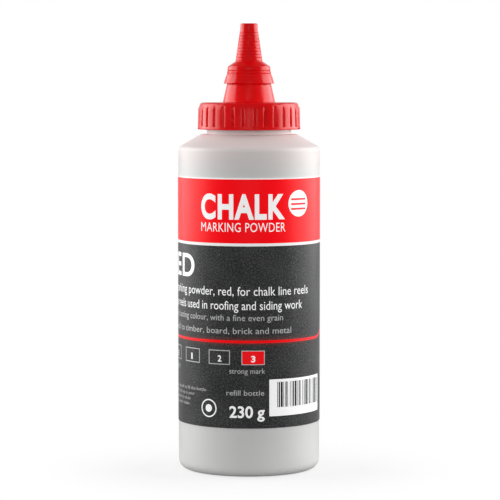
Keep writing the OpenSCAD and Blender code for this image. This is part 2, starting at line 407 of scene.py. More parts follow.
# %% [markdown]
# ## Printed label film
#
# The label is one printed strip of film: a red band above, a thin white rule, and a charcoal field that is
# printed to look like a dusty blackboard, with a glowing red line snapped across it. Its pattern belongs to
# the film, not to space, so it reads the film's own UV map, which is in millimetres: across the film from
# the middle of the front, and up from the foot of the film. A faint sheen lightens the film where it turns
# away. The lettering is made as separate thin pieces further on.

# %% Printed label film
FILM_H = LABEL_Z1 - LABEL_Z0
BAND_V = 72.6
RULE_H = 1.1
TOP_EDGE_H = 0.45
PRINT_EDGE = 0.06
LINE_V = 34.1
LINE_HALF = 0.5
LINE_END_NEAR, LINE_END_FAR = 60, 88
CURL_U = 33
CURL_RATE = 0.03
GLOW_HALF = 1.5
GLOW_SHARE = 0.42
GLOW_END_NEAR, GLOW_END_FAR = 6, 42
BAND_RED = (0.92, 0.0012, 0.0062, 1)
PRINT_RED = (0.92, 0.0015, 0.006, 1)


def label_film():
    """Charcoal with clouds, grain and specks, then the line and its glow, the red band and the white
    rules over it. The red band, the red line and the white rules also give off painted light: an emission
    that keeps them bright whatever the lamps do."""
    material, tree = new_material("printed_label_film")
    film = node(tree, "ShaderNodeUVMap", {"uv_map": "film"})
    across = node(tree, "ShaderNodeSeparateXYZ", {}, {0: film}, out=0)
    up = node(tree, "ShaderNodeSeparateXYZ", {}, {0: film}, out=1)
    clouds = noise(tree, film, 0.09, detail=5, roughness=0.6)
    specks = noise(tree, film, 1.2, detail=2).step(0.60, 0.76) * noise(tree, film, 0.12).step(0.35, 0.7)
    grain = noise(tree, film, 1.5, detail=3, roughness=0.7)
    slate = mix(tree, clouds.step(0.3, 0.75), (0.022, 0.023, 0.024, 1), (0.050, 0.051, 0.052, 1))
    slate = mix(tree, grain.step(0.42, 0.68) * 0.75, slate, (0.125, 0.125, 0.125, 1))
    slate = mix(tree, specks * 0.5, slate, (0.36, 0.36, 0.36, 1))
    # the snapped line is straight over the front, then curves up to the right, and it fades towards its ends
    curl = (across - CURL_U).math("MAXIMUM", across - CURL_U, 0.0)
    from_line = abs(up - LINE_V - curl * curl * CURL_RATE)
    fade = abs(across).step(LINE_END_FAR, LINE_END_NEAR)
    line = from_line.step(LINE_HALF + 2 * PRINT_EDGE, LINE_HALF - 2 * PRINT_EDGE) * fade
    glow_fade = abs(across).step(GLOW_END_FAR, GLOW_END_NEAR) * GLOW_SHARE
    glow = 1 / (1 + (from_line / GLOW_HALF) ** 2) ** 3 * glow_fade
    slate = mix(tree, glow, slate, (0.75, 0.05, 0.02, 1))
    slate = mix(tree, line, slate, PRINT_RED)
    red = up.step(BAND_V - PRINT_EDGE, BAND_V + PRINT_EDGE)
    rule_v = BAND_V - RULE_H
    rule = up.step(rule_v - PRINT_EDGE, rule_v + PRINT_EDGE) * (1 - red)
    edge = up.step(FILM_H - TOP_EDGE_H - 0.05, FILM_H - TOP_EDGE_H + 0.05)
    white = rule.math("MINIMUM", rule + edge, 1.0)
    colour = mix(tree, red, slate, BAND_RED)
    colour = mix(tree, white, colour, (0.86, 0.86, 0.86, 1))
    # painted light: the red band, the red line and the white rules glow by emission, whatever the lamps do
    bright = mix(tree, red.math("MAXIMUM", red, line), (0, 0, 0, 1), (1.0, 0.0, 0.004, 1))
    bright = mix(tree, white, bright, (0.9, 0.9, 0.9, 1))
    ripple = noise(tree, places(tree)[0], 38, detail=2)
    surface_shader(
        tree,
        Base_Color=colour,
        Roughness=0.36 + clouds * 0.08,
        Specular_IOR_Level=0.25,
        Sheen_Weight=0.5,
        Sheen_Roughness=0.3,
        Emission_Color=bright,
        Emission_Strength=0.32,
        Normal=bump(tree, ripple * 0.00035, 0.45),
    )
    return material


LABEL_FILM = label_film()
print("made", LABEL_FILM.name)

# %% [markdown]
# ## Inks, chalk and foam
#
# Printing ink is a flat colour with a faint mottle, because it is laid down in tiny cells. The white, grey
# and red inks also get painted light: a small steady emission of the ink's own colour that keeps the
# print bright whatever the lamps do. Chalk powder is the opposite of plastic: dead matt, and rough at every
# scale, so two noises feed its bump, one for lumps and one for grains. The liner is closed-cell foam, and a
# Voronoi pattern gives it fine pores.

# %% Inks


def ink(name, colour, mottle, glow=0.0):
    """An ink on the film. mottle is how much its cells darken it, and glow is the strength of painted light,
    an emission of the ink's own colour that no lamp gives."""
    material, tree = new_material(name)
    vector, _, _, _ = places(tree)
    cells = noise(tree, vector, 1400, detail=3)
    darker = tuple(c * (1 - mottle) for c in colour[:3]) + (1,)
    surface_shader(
        tree,
        Base_Color=mix(tree, cells.step(0.35, 0.75), darker, colour),
        Roughness=0.36 + cells * 0.08,
        Specular_IOR_Level=0.4,
        Emission_Color=colour,
        Emission_Strength=glow,
    )
    return material


# painted light: the white, grey and red inks glow by emission, whatever the lamps do
WHITE_INK = ink("white_ink", (0.88, 0.88, 0.88, 1), 0.06, glow=0.42)
GREY_INK = ink("grey_ink", (0.62, 0.62, 0.62, 1), 0.10, glow=0.12)
RED_INK = ink("red_ink", PRINT_RED, 0.06, glow=0.32)
BLACK_INK = ink("black_ink", (0.012, 0.012, 0.013, 1), 0.3)
print("made", WHITE_INK.name, GREY_INK.name, RED_INK.name, BLACK_INK.name)

# %% Chalk powder and foam liner


def chalk():
    """Dark and light lumps of red, rough all over."""
    material, tree = new_material("chalk_powder")
    vector, _, _, _ = places(tree)
    lumps = noise(tree, vector, 240, detail=6, roughness=0.7)
    grains = noise(tree, vector, 5200, detail=2)
    surface_shader(
        tree,
        Base_Color=mix(tree, lumps.step(0.3, 0.7), (0.36, 0.012, 0.014, 1), (0.62, 0.05, 0.05, 1)),
        Roughness=0.96 + grains * 0.04,
        Specular_IOR_Level=0.15,
        Normal=bump(tree, lumps * 0.0012 + grains * 0.00008, 0.9),
    )
    return material


def foam():
    """Cream foam with fine pores, and chalk dust round its hole."""
    material, tree = new_material("liner_foam")
    vector, x, y, _ = places(tree)
    pores = node(tree, "ShaderNodeTexVoronoi", {}, {"Vector": vector, "Scale": 2600.0})
    radius = (x * x + y * y) ** 0.5
    dusty = noise(tree, vector, 500, detail=4).step(0.4, 0.7) * radius.step(0.0166, 0.0150)
    surface_shader(
        tree,
        Base_Color=mix(tree, dusty * 0.7, (0.78, 0.77, 0.72, 1), CHALK_RED),
        Roughness=0.7 + pores * 0.2,
        Normal=bump(tree, pores * 0.00006, 0.6),
    )
    return material


CHALK, FOAM = chalk(), foam()
print("made", CHALK.name, FOAM.name)

# %% [markdown]
# ## The screw thread
#
# A thread is a ridge whose height above the wall depends only on how far a point lies from a helix.
# Unrolled, the helix is a slanted line that comes round again one pitch higher each turn. So for each point
# of a grid the nearest turn is found by rounding, and the ridge is a clipped ramp of the distance to it.
# Carving a screw shape with a boolean would give ragged faces; this gives clean rows, and the same formula
# cuts the matching thread in the cap.

# %% Thread formula
THREAD_FOOT_W = 2.1
THREAD_CREST_W = 0.9


def smooth(low, high, value):
    """0 below low, 1 above high, 3t^2 - 2t^3 between."""
    t = np.clip((value - low) / (high - low), 0, 1)
    return t * t * (3 - 2 * t)


def thread_height(angle, height, helix_z, start):
    """Height of the ridge from 0 to 1 at each angle and height. The ridge starts so many turns along its
    helix, runs THREAD_TURNS, and fades over a quarter turn at each end."""
    lap = angle / (2 * math.pi)
    turn = lap + np.round((height - helix_z) / PITCH - lap)
    off = np.abs(height - helix_z - PITCH * turn)
    ridge = smooth(THREAD_FOOT_W / 2, THREAD_CREST_W / 2 - 0.1, off)
    end = start + THREAD_TURNS
    fade = smooth(start, start + 0.25, turn) * smooth(end, end - 0.25, turn)
    return ridge * fade


print(f"thread: pitch {PITCH} mm, {THREAD_TURNS:.2f} turns")

# %% [markdown]
# ## The bottle
#
# One outline goes from the middle of the base, out over the standing ring, up the body, over the shoulder
# and the ledge to the lip of the neck, and back down the inside, so the wall has its real thickness.
# Blow-moulding leaves three marks that a plain turned shape lacks, and they are added by formula: a fine
# line up both sides where the two halves of the mould met, a slight waviness of the wall, and on the base
# the seam where the tube was pinched shut. A screw modifier could turn the outline, but it couldn't carry
# the thread and the marks on the same clean grid.

# %% Bottle
SEAM_RISE = 0.06
SEAM_HALF_W = 0.16
WAVE = 0.05
BASE_ROUND = 5.4
SHOULDER_ROUND = 2.2
RING_W = 2.2
RING_IN_R = BODY_R - BASE_ROUND - RING_W
PUSHUP_H = 2.6
MOULD_LINE_HALF = 0.022
BOTTLE_COLUMNS = 216


def bottle_outline(inset, skin=0.0):
    """Outline below the ledge, from the axis out: hollow base, standing ring, wall, shoulder. The inside
    is the same outline moved in by the wall, and skin is how much room the wave and the seam take."""
    radius = BODY_R - inset - skin
    corner_z = LEDGE_Z - (BODY_R - LEDGE_R) * SLOPE
    lean = inset * (math.sqrt(1 + SLOPE ** 2) - SLOPE)
    dome_x = np.linspace(0, 1, 9)[:-1]
    dome = [(RING_IN_R * s, inset + PUSHUP_H * (1 - s * s), 0) for s in dome_x]
    rest = [
        (RING_IN_R, inset, 0.8),
        (radius, inset, BASE_ROUND - inset, 4.0),
        (radius, corner_z - lean, SHOULDER_ROUND - inset, 1.5),
        (LEDGE_R - 0.25 * inset, LEDGE_Z - inset, 0.5),
    ]
    return dome + rest


def bottle():
    """The radius at each angle and height is the outline's, plus the thread, plus the mould line, less
    the wave."""
    neck = [
        (NECK_R, LEDGE_Z, 0.5, 0.22),
        (NECK_R, NECK_TOP, 0.45),
        (NECK_BORE_R, NECK_TOP, 0.45, 2.0),
        (NECK_BORE_R, LEDGE_Z - WALL, 0.6),
    ]
    corners = bottle_outline(0, skin=SEAM_RISE) + neck + bottle_outline(WALL)[::-1]
    line = outline(corners)
    radius, height = line[:, :1], line[:, 1:]
    mould_line = np.linspace(-MOULD_LINE_HALF, MOULD_LINE_HALF, 9)
    columns = [around(BOTTLE_COLUMNS), mould_line % (2 * math.pi), mould_line + math.pi]
    angle = np.sort(np.concatenate(columns))[None]
    is_out = (np.arange(len(line)) <= int(np.argmax(line[:, 1])))[:, None]
    on_neck = is_out * smooth(LEDGE_Z + 0.9, LEDGE_Z + 1.1, height) * (radius > NECK_R - 0.1)
    ridge = thread_height(angle, height, HELIX_Z, 0.0) * THREAD_DEPTH
    # the points on the axis stay there, so that the pole closes
    on_body = is_out * (radius > 0) * smooth(2, 9, height) * smooth(LEDGE_Z, LEDGE_Z - 6, height)
    wave = WAVE * (0.5 + 0.5 * np.sin(2 * angle + 0.9 + height / 60) * np.sin(height / 19 + angle))
    seam = SEAM_RISE * np.exp(-((np.sin(angle) * BODY_R / SEAM_HALF_W) ** 2))
    grown = radius + on_neck * ridge + on_body * (seam - wave)
    points = turned(grown, height, angle)
    return grid_piece("bottle_shell", points, "filled_bottle", BOTTLE_PLASTIC, ["bottle"])


bottle()

# %% Pinch-off seam under the base
PINCH_RISE = 0.35
PINCH_HALF_W = 0.55


def pinch_seam():
    """A low ridge across the hollow base: its height is a cosine across its width, and it fades at its
    ends. Its underside runs from +y to -y, which turns its faces outwards."""
    reach_out = 0.86 * RING_IN_R
    along = np.linspace(-reach_out, reach_out, 60)[None]
    over = np.linspace(1, -1, 9)[:, None]
    fade = smooth(reach_out, 0.78 * RING_IN_R, np.abs(along))
    rise = PINCH_RISE * np.cos(over * math.pi / 2) * fade
    base = PUSHUP_H * (1 - (along / RING_IN_R) ** 2)
    y = PINCH_HALF_W * over * (0.4 + 0.6 * fade) + 0 * along
    under = np.stack([along + 0 * over, y, base - rise + 0.02], axis=-1)
    above = np.stack([along + 0 * over, y[::-1], base + 0.12 + 0 * over], axis=-1)
    points = np.concatenate([under, above])
    return grid_piece("base_pinch_seam", points, "filled_bottle", BOTTLE_PLASTIC,
                      loop=True, ring=False)


pinch_seam()

# %% [markdown]
# ## The label film
#
# A strip of film wrapped round the body, with its ends 3 mm apart at the back. It has a real thickness, so
# its edge catches light, and its UV map is in millimetres because the film is printed flat and only then
# bent round. It could be painted onto the bottle instead, but a real film stands proud of the wall, and
# that fine step is what shows that it is a label.

# %% Label film
FILM_R = LABEL_R - 0.045
FILM_T = 0.11
SEAM_W = 3.0
FILM_COLUMNS = 361
FILM_ROWS = 33


def label():
    """Rows go up the outside and down the inside, and columns go round from one end of the film to the
    other."""
    half = math.pi - SEAM_W / 2 / BODY_R
    front = np.linspace(-half, half, FILM_COLUMNS)[None]
    heights = np.linspace(LABEL_Z0, LABEL_Z1, FILM_ROWS)
    outer = np.stack([np.full(FILM_ROWS, FILM_R), heights], axis=1)
    inner = np.stack([np.full(FILM_ROWS, FILM_R - FILM_T), heights[::-1]], axis=1)
    line = np.concatenate([outer, inner])
    points = turned(line[:, :1], line[:, 1:], front - math.pi / 2)
    across, up = np.broadcast_arrays(front * LABEL_R, line[:, 1:] - LABEL_Z0)
    uv = np.stack([across, up], axis=-1)
    return grid_piece("label_film", points, "filled_bottle", LABEL_FILM, ["label"],
                      loop=True, ring=False, uv=uv)


label()

# %% [markdown]
# ## Lettering and marks
#
# The words are plain trade words and the mark is a plain disc, set out as such labels are: a headline and
# tagline on the band, the colour, lines of small print, a scale of numbered boxes, the net weight and a
# block of stripes. Text is turned into a flat mesh, cut every millimetre so that it can bend, and then
# wrapped onto the film: a flat point (u, v) goes to the angle u / radius, v above the foot of the film. A
# flat print that isn't cut would dip under the film between its points.

# %% Flat shapes, in millimetres on the unrolled film


def rectangle(u0, u1, v0, v1):
    """One four-sided face."""
    return np.array([(u0, v0), (u1, v0), (u1, v1), (u0, v1)], float), [(0, 1, 2, 3)]


def frame_box(u0, u1, v0, v1, line):
    """Four thin bars round a box."""
    bars = [(u0, u1, v0, v0 + line), (u0, u1, v1 - line, v1)]
    bars += [(u0, u0 + line, v0 + line, v1 - line), (u1 - line, u1, v0 + line, v1 - line)]
    return [rectangle(*bar) for bar in bars]


def ring_shape(u, v, outer, inner, count=48):
    """A flat ring, or a disc where inner is 0: points at two radii, joined in pairs."""
    angle = around(count)
    circle = np.stack([np.cos(angle), np.sin(angle)], axis=1)
    flat = np.concatenate([circle * outer, circle * inner]) + (u, v)
    faces = [(k, (k + 1) % count, count + (k + 1) % count, count + k) for k in range(count)]
    return flat, faces


def words(text, u0, u1, v0, capital, weight=0.0, curve_steps=3, spacing=1.0):
    """Text from u0 to u1, standing on v0, with its capitals that tall. The letters are narrowed or
    widened to fit: u = u0 + share of the width, and v = v0 + height in capitals. weight thickens the
    strokes."""

    def flat(string):
        curve = bpy.data.curves.new("words", "FONT")
        curve.body, curve.offset, curve.resolution_u = string, weight, curve_steps
        curve.space_character = spacing
        holder = bpy.data.objects.new("words", curve)
        bpy.context.scene.collection.objects.link(holder)
        bpy.context.view_layer.update()
        depsgraph = bpy.context.evaluated_depsgraph_get()
        mesh = bpy.data.meshes.new_from_object(holder.evaluated_get(depsgraph))
        points = np.empty(len(mesh.vertices) * 3)
        mesh.vertices.foreach_get("co", points)
        faces = [tuple(p.vertices) for p in mesh.polygons]
        bpy.data.objects.remove(holder)
        bpy.data.curves.remove(curve)
        bpy.data.meshes.remove(mesh)
        return points.reshape(-1, 3)[:, :2], faces

    capital_h = np.ptp(flat("H")[0][:, 1])
    points, faces = flat(text)
    low, width = points[:, 0].min(), np.ptp(points[:, 0])
    u = u0 + (points[:, 0] - low) * (u1 - u0) / width
    v = v0 + points[:, 1] * capital / capital_h
    return np.stack([u, v], axis=1), faces


# %% Wrapping flat shapes onto the film


def printed(name, shapes, material, lift):
    """Joins flat shapes, cuts them every millimetre across, and bends them round the film at radius
    FILM_R + lift."""
    work = bmesh.new()
    for points, faces in shapes:
        made = [work.verts.new((u, v, 0)) for u, v in points]
        for face in faces:
            work.faces.new([made[k] for k in face])
    spread = [v.co.x for v in work.verts]
    for cut in range(math.ceil(min(spread)), math.floor(max(spread)) + 1):
        everything = work.verts[:] + work.edges[:] + work.faces[:]
        bmesh.ops.bisect_plane(work, geom=everything, plane_co=(cut, 0, 0), plane_no=(1, 0, 0))
    bmesh.ops.triangulate(work, faces=work.faces)
    for face in work.faces:
        if face.normal.z < 0:
            face.normal_flip()
    mesh = bpy.data.meshes.new(name)
    work.to_mesh(mesh)
    work.free()
    flat = np.empty(len(mesh.vertices) * 3)
    mesh.vertices.foreach_get("co", flat)
    u, v, _ = flat.reshape(-1, 3).T
    points = turned(FILM_R + lift, LABEL_Z0 + v, u / LABEL_R - math.pi / 2) * MM
    mesh.vertices.foreach_set("co", points.ravel())
    return finish_piece(mesh, "filled_bottle", material)


# %% Print on the red band and the charcoal field
PRINT_LIFT = 0.012
OVERPRINT_LIFT = 0.022
TOP_LIFT = 0.032
BOX_W, BOX_H, BOX_V, BOX_PITCH = 9.2, 5.7, 25, 13.8
BOX_U = 1.65
BOX_LINE = 0.34
NUMERAL_V, NUMERAL_H = 26.2, 2.5
# each row of words: the text, its left and right ends, its foot, and the height of its capitals
white = [
    words("CHALK", -20.4, 14.7, 82.4, 9.9, weight=0.04, curve_steps=8, spacing=1.12),
    words("MARKING POWDER", -20.4, 14.9, 77.1, 3.5, spacing=1.06),
    ring_shape(21.5, 87.9, 5.2, 0.0),
    words("RED", -50.0, -24.3, 58.9, 9.2, weight=0.02, curve_steps=6, spacing=1.08),
    words("Very fine marking powder, red, for chalk line reels", -60.0, 27.1, 52.2, 3.4),
    words("Refill for the reels used in roofing and siding work", -60.0, 23.5, 46.6, 3.4),
    words("230 g", -7.8, 6.2, 4.3, 4.6, weight=0.02, curve_steps=5),
    words("2", -12.7, -11.1, NUMERAL_V, NUMERAL_H, weight=0.02, curve_steps=5),
    words("1", -26.5, -25.6, NUMERAL_V, NUMERAL_H, weight=0.015, curve_steps=5),
    words("0", -40.7, -39.1, NUMERAL_V, NUMERAL_H, weight=0.02, curve_steps=5),
    ring_shape(-16.8, 7.5, 3.6, 3.1),
    ring_shape(-16.8, 7.5, 1.5, 0.0),
    rectangle(8.1, 36.7, 4.7, 19.2),
]
small = [
    words("bright lasting colour, with a fine even grain", -46.0, 13.9, 42.3, 2.4),
    words("clings well to timber, board, brick and metal", -52.0, 17.7, 37.2, 2.4),
    words("strong mark", -7.8, 6.4, 21.6, 2.0),
    words("light", -44.0, -36.6, 21.6, 2.0),
    words("refill bottle", -9.0, 6.0, 13, 2.0),
]
small += [
    words(text, -46.0, end, v, 1.25)
    for text, end, v in [
        ("turn the cap left to fill the bottle", -18.2, 14.1),
        ("pull the nozzle up to pour", -24.5, 12),
        ("push it down to close", -27.2, 9.9),
        ("wipe the neck clean", -28.0, 7.8),
    ]
]
for k in range(4):
    low = BOX_U - BOX_W / 2 - BOX_PITCH * k
    small += frame_box(low, low + BOX_W, BOX_V, BOX_V + BOX_H, BOX_LINE)
printed("print_white", white, WHITE_INK, PRINT_LIFT)
printed("print_small", small, GREY_INK, PRINT_LIFT)

# %% Red fills, and what is printed over them
FILL_IN = 0.3
BAR_H = 0.75
half_box = BOX_W / 2 - FILL_IN
red = [rectangle(BOX_U - half_box, BOX_U + half_box, BOX_V + FILL_IN, BOX_V + BOX_H - FILL_IN)]
red += [rectangle(17.6, 25.4, v, v + BAR_H) for v in (85.4, 87.3, 89.2)]
box_number = words("3", 0.8, 2.5, NUMERAL_V, NUMERAL_H, weight=0.025, curve_steps=5)
printed("print_red", red, RED_INK, OVERPRINT_LIFT)
printed("print_box_number", [box_number], WHITE_INK, TOP_LIFT)

# %% [markdown]
# ### The block of stripes
#
# Where a real label has its bar code, this one has stripes that stand for none: their widths step through a
# short repeating rhythm, so they read as a code at a glance and mean nothing to a scanner.

# %% Stripes
RHYTHM = (1, 1, 2, 1, 3, 1, 1, 2, 2, 1, 1, 3, 1, 2)
STRIPE_UNIT = 0.30


def stripes(u, end, v0, v1):
    """Bars and gaps in turn, each a multiple of the unit wide, until the end is reached."""
    bars = []
    k = 0
    while u < end:
        width = RHYTHM[k % len(RHYTHM)] * STRIPE_UNIT
        if k % 2 == 0:
            bars.append(rectangle(u, u + width, v0, v1))
        u += width
        k += 1
    return bars


printed("print_stripes", stripes(11.4, 35.0, 8.1, 18.1), BLACK_INK, OVERPRINT_LIFT)

# %% [markdown]
# ## The spout cap
#
# Collar, panel, cone and barrel are one moulding, so one closed outline carries them all, with the bore
# that takes the neck on its inside. The ribs are added by angle: the outline follows the floor of the
# grooves, and over a rib it is pushed out to the rib's own face. The columns are packed closely at the
# sides of each rib, where the surface turns, and are far apart on its flat face. That keeps the edges crisp
# for a third of the faces.

# %% Ribs round the collar
RIB_COUNT = 30
RIB_W = 2.9
RIM_H = 1.2
GROOVE_R = COLLAR_R - 0.7
PANEL_Z = LINER_Z1 + 1.5
COLLAR_ROUND = 1.4
RIB_FLANK = 0.58
RIB_DRAFT = 0.25
RIB_CHAMFER = 1.1


def rib_columns():
    """(angles, ribness) of the columns: ribness is 1 on a rib and 0 in a groove, with a slanted flank
    between. Two columns stand a hair to each side of every edge, which bevels it."""
    half = RIB_W / 2
    end = math.pi * COLLAR_R / RIB_COUNT
    side = [0.5 * half, half - 0.05, half + 0.05, half + RIB_FLANK - 0.05, half + RIB_FLANK + 0.04]
    offsets = np.array([-s for s in side[::-1]] + [0.0] + side + [end])
    # one rib faces straight ahead, at -90 degrees
    angle = (offsets[None] / COLLAR_R + around(RIB_COUNT)[:, None] - math.pi / 2).ravel()
    ribness = np.clip(1 - (np.abs(np.tile(offsets, RIB_COUNT)) - half) / RIB_FLANK, 0, 1)
    return angle[None], ribness[None]


def rib_face(height):
    """Radius of a rib's face: drafted a quarter of a millimetre over its height, then chamfered to the
    core."""
    drafted = COLLAR_R - 0.01 - RIB_DRAFT * (height - COLLAR_Z) / (PANEL_Z - COLLAR_Z)
    top = PANEL_Z - COLLAR_ROUND - 0.4
    return drafted - RIB_CHAMFER * smooth(top - 0.5, top + 0.9, height)


print(f"{RIB_COUNT} ribs, {rib_columns()[0].size} columns")

# %% Cap moulding
THREAD_GAP = 0.35
BORE_R = NECK_R + THREAD_DEPTH + THREAD_GAP
BELL_OVERHANG = 0.4
CONE_TOP_Z = TIP_Z + BELL_OVERHANG
CONE_TOP_R = 8.7
CONE_FOOT_R = 10.5
BARREL_R = 6.8
BARREL_BORE_R = 5.6
CONE_WALL = 1.3
SEAT_GAP = 0.3
LIP_Z = CONE_TOP_Z + SEAT_GAP
LIP_TOP = LIP_Z + 0.9
PULL_TRAVEL = 3.5
BEAD_MARGIN = 0.25
BEAD_Z = LIP_TOP + PULL_TRAVEL + BEAD_MARGIN
BARREL_TOP_Z = BEAD_Z + 0.6
BEAD_R = BARREL_R + 0.3
print(f"the bead sits at {BEAD_Z:.2f} mm, so the tip's lip can rise {PULL_TRAVEL} mm to it")


def spout_cap():
    """The outline's radius, pushed out to the face of a rib over the ribs, and cut back by the thread in
    the bore."""
    corners = [
        (BORE_R, COLLAR_Z, 0.3, 0.9),
        (COLLAR_R, COLLAR_Z, 0.3, 0.3),
        (COLLAR_R, COLLAR_Z + RIM_H - 0.1, 0.2, 0.2),
        (GROOVE_R, COLLAR_Z + RIM_H + 0.15, 0.25, 1.0),
        (GROOVE_R, PANEL_Z, COLLAR_ROUND, 2.0),
        (CONE_FOOT_R, PANEL_Z, 0.45, 1.5),
        (CONE_TOP_R, CONE_TOP_Z, 0.3, 0.5),
        (BARREL_R, CONE_TOP_Z, 0.15, 1.0),
        (BARREL_R, BEAD_Z, 0.08, 0.2),
        (BEAD_R, BEAD_Z, 0.08, 0.2),
        (BEAD_R, BEAD_Z + 0.3, 0.08, 0.2),
        (BARREL_R, BARREL_TOP_Z, 0.1, 0.5),
        (BARREL_BORE_R, BARREL_TOP_Z, 0.2, 1.5),
        (BARREL_BORE_R, CONE_TOP_Z - CONE_WALL, 0.6, 1.5),
        (CONE_FOOT_R - CONE_WALL, PANEL_Z, 0.4, 0.5),
        (CONE_FOOT_R - CONE_WALL, LINER_Z1, 0.25, 2.0),
        (BORE_R, LINER_Z1, 0.3, 0.3),
    ]
    line = outline(corners, arc_steps=4, closed=True)
    radius, height = line[:, :1], line[:, 1:]
    angle, ribness = rib_columns()
    on_collar = (radius > GROOVE_R - 0.9) & (height < PANEL_Z - 0.4) & (height > COLLAR_Z + 0.6)
    push = np.maximum(rib_face(height) - radius, 0) * on_collar * ribness
    in_bore = (np.abs(radius - BORE_R) < 0.02) & (height > COLLAR_Z + 0.3)
    groove = thread_height(angle, height, HELIX_Z + PITCH / 2, -0.25) * THREAD_DEPTH * in_bore
    points = turned(radius + push - groove, height, angle)
    return grid_piece("cap_moulding", points, "cap", CAP_PLASTIC, ["spout_cap"], loop=True)


spout_cap()

# %% [markdown]
# ## The stem in the spout
#
# Three webs hold a stem in the middle of the barrel, and the plug on its end shuts the tip when that is
# pushed down. Cut across, stem and webs are a circle with three arms. In polar form an arm of half width w
# has the radius w / |sin a| at the angle a from its middle, so the whole shape is the largest of the circle
# and the three arms.

# %% Stem, webs and plug
STEM_R = 1.9
WEB_COUNT = 3
PLUG_R = 1.45
WEB_HALF = 0.6
WEB_Z0 = CONE_TOP_Z + 0.6
WEB_Z1 = WEB_Z0 + 4.0


def stem():
    """A turned outline, pushed out to the arms' radius between WEB_Z0 and WEB_Z1."""
    corners = [
        (0, WEB_Z0),
        (STEM_R, WEB_Z0, 0.3, 0.5),
        (STEM_R, WEB_Z1, 0.0, 0.3),
        (STEM_R, WEB_Z1 + 0.05, 0.0, 1.0),
        (PLUG_R, STEM_TOP - 4, 0.3, 1.0),
        (PLUG_R, STEM_TOP, 0.4),
        (0, STEM_TOP),
    ]
    line = outline(corners)
    radius, height = line[:, :1], line[:, 1:]
    angle = around(216)[None]
    apart = 2 * math.pi / WEB_COUNT
    from_arm = (angle - math.pi / 2 + apart / 2) % apart - apart / 2
    arm = np.minimum(WEB_HALF / np.maximum(np.abs(np.sin(from_arm)), 1e-6), BARREL_BORE_R + 0.1)
    in_webs = (height <= WEB_Z1 + 0.01) & (radius > STEM_R * 0.8)
    points = turned(np.where(in_webs, np.maximum(radius, arm), radius), height, angle)
    return grid_piece("cap_stem", points, "cap", CAP_PLASTIC)


stem()

# %% [markdown]
# ## The nozzle tip
#
# The tip is soft plastic that snaps over the bead on the barrel. Its slender part has grip rings: each is a
# shallow rounded band, so the outline is a straight cone from which a raised cosine is taken once a ring.
# The bell below has two fine grooves and a flared foot that a finger hooks under.

# %% Nozzle tip
RING_COUNT = 10
RING_DEPTH = 0.16
SLENDER_Z0 = 163.0
SLENDER_Z1 = SLENDER_Z0 + 12.4
SLENDER_FOOT_R, SLENDER_HEAD_R = 5.47, 3.63
PLAIN_BAND_R, TIP_TOP_R = 3.5, 3.45
PLUG_HOLE_H = 1.6
WAIST_Z = TIP_Z + 3.0
WAIST_R, BELL_R = 9.26, 9.06
BELL_TOP_R, BELL_TOP_Z = 8.42, 161.05
BELL_GROOVE_DEPTH = 0.24
HOLLOW_FOOT_R, HOLLOW_HEAD_R = 4.15, 2.25
SLIDE_GAP = 0.05


def ring_grooves(height):
    """Depth of the grooves: the cosine is raised to a power, which narrows each dip and widens each
    band."""
    ring_pitch = (SLENDER_Z1 - 0.2 - SLENDER_Z0) / RING_COUNT
    phase = (height - SLENDER_Z0 - 0.15) / ring_pitch
    dips = (0.5 + 0.5 * np.cos(2 * math.pi * phase)) ** 2.4
    above_foot = smooth(SLENDER_Z0 - 0.1, SLENDER_Z0 + 0.4, height)
    below_head = smooth(SLENDER_Z1 + 0.25, SLENDER_Z1 - 0.05, height)
    return RING_DEPTH * dips * above_foot * below_head


def bell_grooves(height):
    """Two fine grooves under the shoulder of the bell, each shaped as exp(-x^2)."""
    first, second = (np.exp(-((height - WAIST_Z - above) / 0.2) ** 2) for above in (0.98, 2.08))
    return BELL_GROOVE_DEPTH * (first + second)


def nozzle_tip():
    """The outside runs from the foot up to the top, and the inside, which clears plug, bead and barrel,
    back down."""
    corners = [
        (CONE_TOP_R + SEAT_GAP + 0.15, TIP_Z, 0.1, 0.4),
        (TIP_FOOT_R, TIP_Z, 0.18, 1.0),
        (WAIST_R, WAIST_Z, 0.1, 0.3),
        (BELL_R, WAIST_Z + 0.12, 0.1, 0.06),
        (BELL_TOP_R, BELL_TOP_Z, 0.75, 0.6),
        (SLENDER_FOOT_R, SLENDER_Z0, 0.3, 0.06),
        (SLENDER_HEAD_R, SLENDER_Z1, 0.0, 0.15),
        (PLAIN_BAND_R, SLENDER_Z1 + 0.2, 0.1, 0.6),
        (TIP_TOP_R, TIP_TOP, 0.6, 0.5),
        (PLUG_R + SLIDE_GAP, TIP_TOP, 0.12, 0.5),
        (PLUG_R + SLIDE_GAP, TIP_TOP - PLUG_HOLE_H, 0.1, 0.5),
        (HOLLOW_HEAD_R, TIP_TOP - PLUG_HOLE_H, 0.3, 2.0),
        (HOLLOW_FOOT_R, SLENDER_Z0, 0.8, 1.0),
        (BEAD_R + SLIDE_GAP, BARREL_TOP_Z + 0.3, 0.15, 1.0),
        (BEAD_R + SLIDE_GAP, LIP_TOP, 0.05, 0.3),
        (BARREL_R + SLIDE_GAP, LIP_TOP, 0.05, 0.4),
        (BARREL_R + SLIDE_GAP, LIP_Z, 0.05, 0.8),
        (CONE_TOP_R + SEAT_GAP, LIP_Z, 0.1, 0.3),
    ]
    line = outline(corners, closed=True)
    radius, height = line[:, :1], line[:, 1:]
    is_out = (np.arange(len(line)) < int(np.argmax(line[:, 1] > TIP_TOP - 0.01)))[:, None]
    on_bell = radius > 8
    carved = radius - is_out * (ring_grooves(height) + bell_grooves(height) * on_bell)
    points = turned(carved, height, around(192)[None])
    return grid_piece("tip_moulding", points, "tip", TIP_PLASTIC, ["nozzle_tip"], loop=True)


nozzle_tip()

